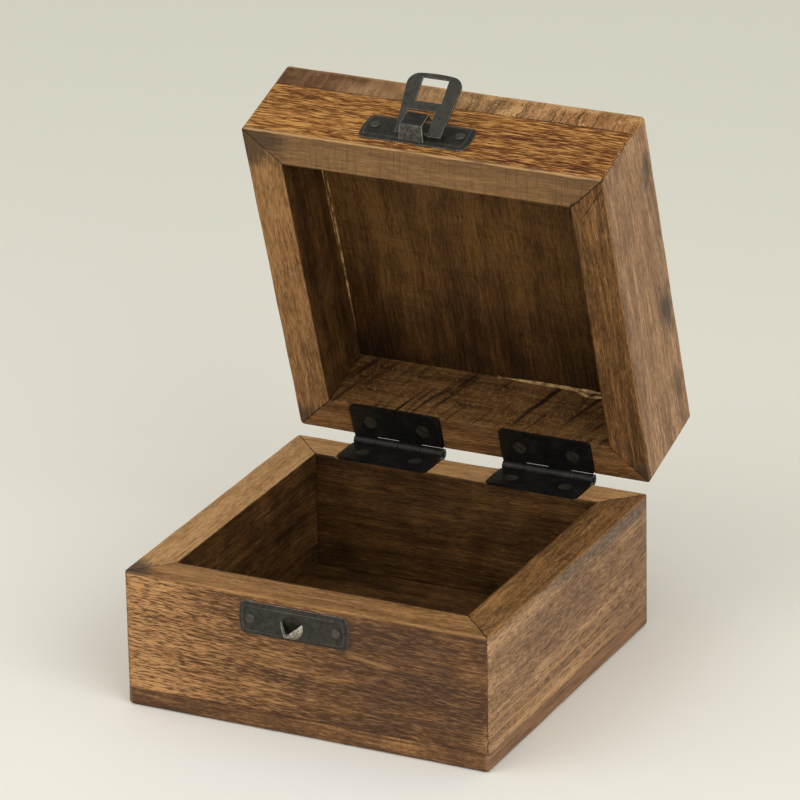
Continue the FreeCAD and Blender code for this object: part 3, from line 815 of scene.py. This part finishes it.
def lay_cone(bm, middle, about, segments, root, tip, length):
    """A cone that is laid down by a quarter turn about an axis."""
    lying = Matrix.Translation(middle) @ Matrix.Rotation(math.radians(90), 4, about)
    bmesh.ops.create_cone(
        bm, cap_ends=True, segments=segments, radius1=root, radius2=tip, depth=length, matrix=lying
    )


def weld(bm, part, name):
    """Adds a part to a piece."""
    carrier = bpy.data.meshes.new(name)
    part.to_mesh(carrier)
    part.free()
    bm.from_mesh(carrier)
    bpy.data.meshes.remove(carrier)


def stamped_plate(node):
    """A node's plate without its tongue or nose, and the middle of the plate."""
    low, high = shut_box(node)
    middle = (low.z + high.z) / 2
    bm = bmesh.new()
    outlined(bm, [
        (low.x + plate_bow, low.z), (high.x - plate_bow, low.z), (high.x + plate_bow, middle),
        (high.x - plate_bow, high.z), (low.x + plate_bow, high.z), (low.x - plate_bow, middle),
    ], 0)
    corners = [vertex for vertex in bm.verts if not near(vertex.co.z, middle)]
    bows = [vertex for vertex in bm.verts if near(vertex.co.z, middle)]
    round_points(bm, corners, plate_corner, 5)
    round_points(bm, bows, bow_round, 6)
    extrude(bm, bm.faces[:], (0, -plate_edge, 0))
    face = min(bm.faces, key=lambda one: one.calc_center_median().y)
    bmesh.ops.inset_region(bm, faces=[face], thickness=plate_border, depth=sheet - plate_edge)
    return bm, (low.x + high.x) / 2, middle


def add_pips(bm, x, z):
    """Two small pips that the stamp leaves, one each side of the middle."""
    for side in (-1, 1):
        middle = (x + side * pip_from_middle, -half_depth - sheet - pip_above, z)
        lay_cone(bm, middle, "X", 12, pip_root, pip_tip, pip_height)


print("plates stamped from", round(sheet / mm, 2), "mm sheet")

# %% [markdown]
# The hasp plate has a tongue: a strip of its own metal, folded out from its lower edge and back over the clasp's bar.
# An edge that is extruded from point to point along the fold gives the strip, a bevel rounds the folds,
# and solidify gives it the thickness of the sheet.

# %% Hasp plate with its tongue
tongue_path = [(40.6, 0.125), (42.0, 4.5), (47.1, 4.85), (47.2, 2.9)]
tongue_half_widths = [3.5, 3.05, 3.0, 3.0]
fold_round = 0.6 * mm
tongue_ease = 0.16 * mm
tongue_face_sheen, tongue_edge_wear = 0.14, 0.75

bm, plate_x, plate_z = stamped_plate("hasp_plate")
rub_edges(bm, crease, stamped_angle)
add_pips(bm, plate_x, plate_z)
strip = bmesh.new()
(foot_z, foot_out), half = tongue_path[0], tongue_half_widths[0] * mm
ends = [strip.verts.new((plate_x + side * half, -half_depth - foot_out * mm, foot_z * mm)) for side in (-1, 1)]
leading = strip.edges.new(ends)
for (height, out), next_half in zip(tongue_path[1:], tongue_half_widths[1:]):
    grown = bmesh.ops.extrude_edge_only(strip, edges=[leading])
    for vertex in moved_points(grown):
        side = 1 if vertex.co.x > plate_x else -1
        vertex.co = (plate_x + side * next_half * mm, -half_depth - out * mm, height * mm)
    leading = next(
        item for item in grown["geom"]
        if isinstance(item, bmesh.types.BMEdge) and all(near(v.co.z, height * mm) for v in item.verts)
    )
ease(strip, [edge for edge in strip.edges if len(edge.link_faces) == 2], fold_round, 4)
bmesh.ops.recalc_face_normals(strip, faces=strip.faces)
if min(strip.faces, key=lambda one: one.calc_center_median().z).normal.y > 0:
    bmesh.ops.reverse_faces(strip, faces=strip.faces)
bmesh.ops.solidify(strip, geom=strip.faces[:], thickness=sheet)
bmesh.ops.recalc_face_normals(strip, faces=strip.faces)
# The tongue's lower face gets a low mark: a painted sheen, paler steel where the facet reflects the light.
worn = strip.faces.layers.float.new("worn")
for face in strip.faces:
    face[worn] = tongue_face_sheen if face.normal.z < -0.5 else 0.0
rub_edges(strip, tongue_ease, cut_angle, tongue_edge_wear, tongue_edge_wear)
print("tongue stands out", round((-min(v.co.y for v in strip.verts) - half_depth) / mm, 2), "mm")
weld(bm, strip, "tongue")
add_piece("hasp_plate_metal", bm, "lid", hasp_black, "hasp_plate")

# %% [markdown]
# The keeper's nose is a scoop: a cone that leans down, cut open at the top so that the clasp's window can drop over
# it. A cone is made lying on its side, sheared, sawn through and given a wall. The plate behind it has a round hole,
# which is cut by filling the plate's face again around a circle.

# %% Keeper plate with its nose
nose_radius, nose_tip, nose_reach, nose_drop = 3.7 * mm, 0.75 * mm, 3.9 * mm, 0.9 * mm
nose_below_rim = 6.4 * mm
nose_wall = 0.55 * mm
mouth_root, mouth_tip = 1.0 * mm, 0.15 * mm
hole_radius = 2.8 * mm
nose_aside = 0.4 * mm
hole_depth = 0.55 * mm
nose_ease = 0.12 * mm
nose_wear_and_highlight, nose_side_wear, nose_edge_wear = 1.0, 0.3, 0.9

bm, plate_x, plate_z = stamped_plate("keeper_plate")
nose_z = base_rim - nose_below_rim
face = min(bm.faces, key=lambda one: one.calc_center_median().y)
front_y = face.calc_center_median().y
border = face.edges[:]
bmesh.ops.delete(bm, geom=[face], context="FACES_ONLY")
nose_x = plate_x - nose_aside
place = Matrix.Translation((nose_x, front_y, nose_z)) @ Matrix.Rotation(math.radians(90), 4, "X")
ring = bmesh.ops.create_circle(bm, cap_ends=False, segments=32, radius=hole_radius, matrix=place)["verts"]
ring_edges = list({edge for vertex in ring for edge in vertex.link_edges})
bmesh.ops.triangle_fill(bm, edges=border + ring_edges, use_beauty=True)
grown = bmesh.ops.extrude_edge_only(bm, edges=ring_edges)
bmesh.ops.translate(bm, verts=moved_points(grown), vec=(0, hole_depth, 0))
bmesh.ops.holes_fill(bm, edges=bm.edges, sides=0)
bmesh.ops.recalc_face_normals(bm, faces=bm.faces)
rub_edges(bm, crease, stamped_angle)
add_pips(bm, plate_x, plate_z)

nose = bmesh.new()
lay_cone(nose, (nose_x, -half_depth - nose_reach / 2, nose_z), "X", 40, nose_radius, nose_tip, nose_reach)
root = [face for face in nose.faces if near(face.calc_center_median().y, -half_depth)]
bmesh.ops.delete(nose, geom=root, context="FACES_ONLY")
for vertex in nose.verts:
    vertex.co.z -= nose_drop * (-half_depth - vertex.co.y) / nose_reach
mouth_at = Vector((nose_x, -half_depth - sheet, nose_z + mouth_root))
mouth_end = Vector((nose_x, -half_depth - nose_reach, nose_z - nose_drop + mouth_tip))
slope = mouth_end - mouth_at
bmesh.ops.bisect_plane(
    nose, geom=everything(nose), plane_co=mouth_at, plane_no=(0, slope.z, -slope.y), clear_outer=True
)
bmesh.ops.solidify(nose, geom=nose.faces[:], thickness=nose_wall)
bmesh.ops.recalc_face_normals(nose, faces=nose.faces)
# The nose's right side is marked brightest: worn steel and a painted highlight.
worn = nose.faces.layers.float.new("worn")
for face in nose.faces:
    face[worn] = nose_wear_and_highlight if face.normal.x > 0.1 and face.normal.z < 0.2 else nose_side_wear
rub_edges(nose, nose_ease, cut_angle, nose_edge_wear, nose_edge_wear)
print("nose stands out", round((-min(v.co.y for v in nose.verts) - half_depth) / mm, 2), "mm")
weld(bm, nose, "nose")
add_piece("keeper_plate_metal", bm, "base", latch_black, "keeper_plate")

# %% [markdown]
# The clasp is one dished plate: a raised flat frame with a soft border, a window for the nose, and a gap at the
# top where its bar runs under the tongue. The border comes from an inset, and the window and the gap are cut by
# sawing lines through the flat and deleting what lies between them. The bar is a short rod across the gap.

# %% Clasp
clasp_low, clasp_high = shut_box("hasp_clasp")
pivot = shut["lid"] @ Vector(joints["clasp_pivot"]["pos_m"])
clasp_x, pivot_z = pivot.x, pivot.z
pivot_out = -pivot.y - half_depth
clasp_heel, clasp_reach = 0.6 * mm, 16.8 * mm
heel_half, end_half, end_round, end_bow = 6.25 * mm, 7.8 * mm, 3.2 * mm, 0.7 * mm
clasp_border, clasp_dish, clasp_gauge = 1.5 * mm, 0.6 * mm, 0.6 * mm
window_half, window_near, window_far = 3.6 * mm, 8.7 * mm, 15.3 * mm
gap_left, gap_right, gap_far = -5.1 * mm, 2.6 * mm, 6.2 * mm
bar_radius, bar_past_gap, flat_above_bar = 0.5 * mm, 1.2 * mm, 0.35 * mm
past_heel = 4.0 * mm

bm = bmesh.new()
face_out = pivot_out + flat_above_bar
extra = past_heel * (end_half - heel_half) / (clasp_heel + clasp_reach)
outlined(bm, [
    (clasp_x - end_half, pivot_z - clasp_reach + end_bow), (clasp_x, pivot_z - clasp_reach),
    (clasp_x + end_half, pivot_z - clasp_reach + end_bow),
    (clasp_x + heel_half - extra, pivot_z + clasp_heel + past_heel),
    (clasp_x - heel_half + extra, pivot_z + clasp_heel + past_heel),
], face_out - clasp_dish)
round_points(bm, [v for v in bm.verts if v.co.z < pivot_z], end_round, 10)
bmesh.ops.inset_region(bm, faces=bm.faces[:], thickness=clasp_border, depth=clasp_dish)
heel_at = Vector((clasp_x, 0, pivot_z + clasp_heel))
bmesh.ops.bisect_plane(bm, geom=everything(bm), plane_co=heel_at, plane_no=(0, 0, 1), clear_outer=True)
for left, right, start, end in (
    (-window_half, window_half, window_near, window_far), (gap_left, gap_right, -past_heel, gap_far)
):
    for across in (left, right):
        bmesh.ops.bisect_plane(bm, geom=everything(bm), plane_co=(clasp_x + across, 0, 0), plane_no=(1, 0, 0))
    for down in (start, end):
        bmesh.ops.bisect_plane(bm, geom=everything(bm), plane_co=(0, 0, pivot_z - down), plane_no=(0, 0, 1))
    middles = {face: face.calc_center_median() for face in bm.faces}
    cut_out = [
        face for face, at in middles.items()
        if left < at.x - clasp_x < right and pivot_z - end < at.z < pivot_z - start
    ]
    bmesh.ops.delete(bm, geom=cut_out, context="FACES")
bmesh.ops.dissolve_limit(bm, angle_limit=math.radians(2), verts=bm.verts, edges=bm.edges)
bmesh.ops.solidify(bm, geom=bm.faces[:], thickness=clasp_gauge)
bmesh.ops.recalc_face_normals(bm, faces=bm.faces)
rub_edges(bm, crease, stamped_angle)
bar_x = clasp_x + (gap_left + gap_right) / 2
bar_length = gap_right - gap_left + bar_past_gap
lay_cone(bm, (bar_x, pivot.y, pivot_z), "Y", 20, bar_radius, bar_radius, bar_length)
outs = [-vertex.co.y - half_depth for vertex in bm.verts]
print("clasp lies between", round(min(outs) / mm, 2), "and", round(max(outs) / mm, 2), "mm in front")
solid_outs = [round((-corner.y - half_depth) / mm, 2) for corner in (clasp_high, clasp_low)]
print("its solid between", *solid_outs)
add_piece("hasp_clasp_metal", bm, "clasp", latch_black, "hasp_clasp")

# %% [markdown]
# Glue was left where it squeezed out inside the lid: a thin line along the left corner of the ceiling, and a thicker
# run with a drop near the right hinge. Each is a small ring that is extruded along the corner and made wider and
# narrower by noise as it goes.

# %% Dried glue
glue, glue_shader, place = new_material("dried_glue")
lumps = place.stretched(2 * mm, 2 * mm, 2 * mm).noise(2.0, 9.0)
ambers = [(0.35, colour(104, 70, 28)), (0.65, colour(198, 160, 102))]
amber = lumps.node("ShaderNodeValToRGB", {"stops": ambers}, {"Fac": lumps})
feed(glue_shader, Base_Color=amber, Roughness=lumps * 0.3 + 0.25)
lump_length = 3 * mm


def glue_run(name, start, end, radius, steps):
    """A lumpy run of glue between two places."""
    start, end = Vector(start), Vector(end)
    step = (end - start) / steps
    facing = step.to_track_quat("Z", "Y").to_matrix().to_4x4()
    bm = bmesh.new()
    place = Matrix.Translation(start) @ facing
    ring = bmesh.ops.create_circle(bm, cap_ends=False, segments=8, radius=radius, matrix=place)
    edges = list({edge for vertex in ring["verts"] for edge in vertex.link_edges})
    wide = 1.0
    for index in range(1, steps + 1):
        grown = bmesh.ops.extrude_edge_only(bm, edges=edges)
        points = moved_points(grown)
        made = [item for item in grown["geom"] if isinstance(item, bmesh.types.BMEdge)]
        edges = [edge for edge in made if all(vertex in points for vertex in edge.verts)]
        centre = start + step * index
        lump = noise.noise(centre / lump_length) * 0.5 + 0.8
        ends = min(1.0, 4 * index / steps, 4 * (steps - index) / steps + 0.1)
        bmesh.ops.translate(bm, verts=points, vec=step)
        bmesh.ops.scale(bm, verts=points, vec=Vector((lump * ends / wide,) * 3), space=Matrix.Translation(-centre))
        wide = lump * ends
    bmesh.ops.holes_fill(bm, edges=bm.edges, sides=0)
    bmesh.ops.recalc_face_normals(bm, faces=bm.faces)
    add_piece(name, bm, "lid", glue)


inner_x, inner_y = half_width - wall, half_depth - wall
low_z = top_low.z - 0.1 * mm
# Each run has a start, an end, a radius and a number of steps
left_runs = {
    "left_corner_glue": ((-36 * mm, 0), (30 * mm, 0), 0.45 * mm, 70),
    "left_wall_glue": ((-34 * mm, 1.6 * mm), (2 * mm, 0.9 * mm), 0.3 * mm, 40),
}
back_runs = {
    "back_corner_glue": ((0, 0), (inner_x, 0), 0.7 * mm, 50),
    "back_loop_glue": ((22 * mm, 0.4 * mm), (27.5 * mm, 2.4 * mm), 0.6 * mm, 14),
    "back_drop_glue": ((26.5 * mm, 2.4 * mm), (34 * mm, 0.5 * mm), 0.65 * mm, 18),
}
for name, (start, end, radius, steps) in left_runs.items():
    places = [(-inner_x, along, low_z - drop) for along, drop in (start, end)]
    glue_run(name, *places, radius, steps)
for name, (start, end, radius, steps) in back_runs.items():
    places = [(along, inner_y, low_z - drop) for along, drop in (start, end)]
    glue_run(name, *places, radius, steps)

# %% [markdown]
# The hinges, their pins and screws and the latch's nails keep the shapes that they were made with. Each gets the
# blackened finish of its own hardware.

# %% Hinges, screws and nails
for name, thing in frame["nodes"].items():
    finish = hinge_black
    if name.endswith("nails"):
        finish = nail_grey
    elif name.endswith("screws"):
        finish = screw_black
    for slot in thing.material_slots:
        if not thing.hide_render:
            slot.material = finish
print("left as made:", [name for name, thing in frame["nodes"].items() if not thing.hide_render])

# %% [markdown]
# A sheet of pale paper that sweeps up behind the box gives a floor and background with no line between them.
# It is painted paler towards the front, as a painted pool of light.

# %% Paper sweep
floor_reach = 3.0
backdrop_at = 1.6
backdrop_height = 2.4
sweep_round = 0.8

bm = bmesh.new()
profile = [(-floor_reach, 0), (backdrop_at, 0), (backdrop_at, backdrop_height)]
points = [bm.verts.new((-floor_reach, y, z)) for y, z in profile]
lines = [bm.edges.new(pair) for pair in zip(points, points[1:])]
grown = bmesh.ops.extrude_edge_only(bm, edges=lines)
bmesh.ops.translate(bm, verts=moved_points(grown), vec=(2 * floor_reach, 0, 0))
fold = edges_where(bm, lambda at: near(at.y, backdrop_at) and near(at.z, 0))
ease(bm, fold, sweep_round, 24)
mesh = bpy.data.meshes.new("paper_sweep")
bm.to_mesh(mesh)
bm.free()
mesh.shade_smooth()
paper, paper_shader, place = new_material("paper")
_, away, _ = place.parts()
# Painted light: the paper is paler towards the front, standing in for the light falling off towards the back.
paper_tone_with_painted_light = away.node("ShaderNodeMix", {"data_type": "RGBA"}, {
    0: away.fade(0.5, -0.35), 6: colour(224, 222, 210), 7: colour(248, 245, 238),
}, output=2)
feed(paper_shader, Base_Color=paper_tone_with_painted_light, Roughness=0.9)
mesh.materials.append(paper)
sweep = bpy.data.objects.new("paper_sweep", mesh)
bpy.context.scene.collection.objects.link(sweep)
print("paper sweep", len(mesh.polygons), "faces")

# %% [markdown]
# Large softboxes give soft light: a key from the front left, and a fill from the right that is nearly as strong, so
# that the side faces stay as pale as they are. Their powers are chosen so that a colour renders about as it is
# written.

# %% Lights


def softbox(name, place, aim, size, power):
    lamp = bpy.data.lights.new(name, "AREA")
    lamp.shape = "SQUARE"
    lamp.size = size
    lamp.energy = power
    light = bpy.data.objects.new(name, lamp)
    light.location = place
    light.rotation_euler = (Vector(aim) - Vector(place)).to_track_quat("-Z", "Y").to_euler()
    bpy.context.scene.collection.objects.link(light)
    print(name, "at", place, "with", power, "W")


softbox("key_softbox", (-0.9, -1.0, 1.3), (0, 0, 0.05), 1.4, 8.4)
softbox("fill_softbox", (1.3, -0.7, 0.9), (0, 0, 0.05), 1.4, 13)
world = bpy.data.worlds.new("studio")
world.use_nodes = True
background = world.node_tree.nodes["Background"]
background.inputs["Color"].default_value = colour(240, 240, 236)
background.inputs["Strength"].default_value = 0.75
bpy.context.scene.world = world
bpy.context.scene.view_settings.view_transform = "Standard"

# %% [markdown]
# The camera stands to the right of the front and a little above, far off with a long lens, which keeps the box's
# edges nearly parallel. Its place was worked out from the box's corners.

# %% Camera
camera_place = Vector((0.607069, -1.221172, 0.629137))
camera_aim = Vector((0.003271, 0.00088, 0.072086))
camera_roll = math.radians(-1.079)
lens = bpy.data.cameras.new("camera")
lens.sensor_width = 36.0
lens.lens = 267.28
lens.clip_end = 20
camera = bpy.data.objects.new("camera", lens)
camera.location = camera_place
facing = (camera_aim - camera_place).to_track_quat("-Z", "Y").to_matrix()
camera.rotation_euler = (facing @ Matrix.Rotation(camera_roll, 3, "Z")).to_euler()
bpy.context.scene.collection.objects.link(camera)
bpy.context.scene.camera = camera
print("camera", round((camera_aim - camera_place).length, 2), "m from the box")
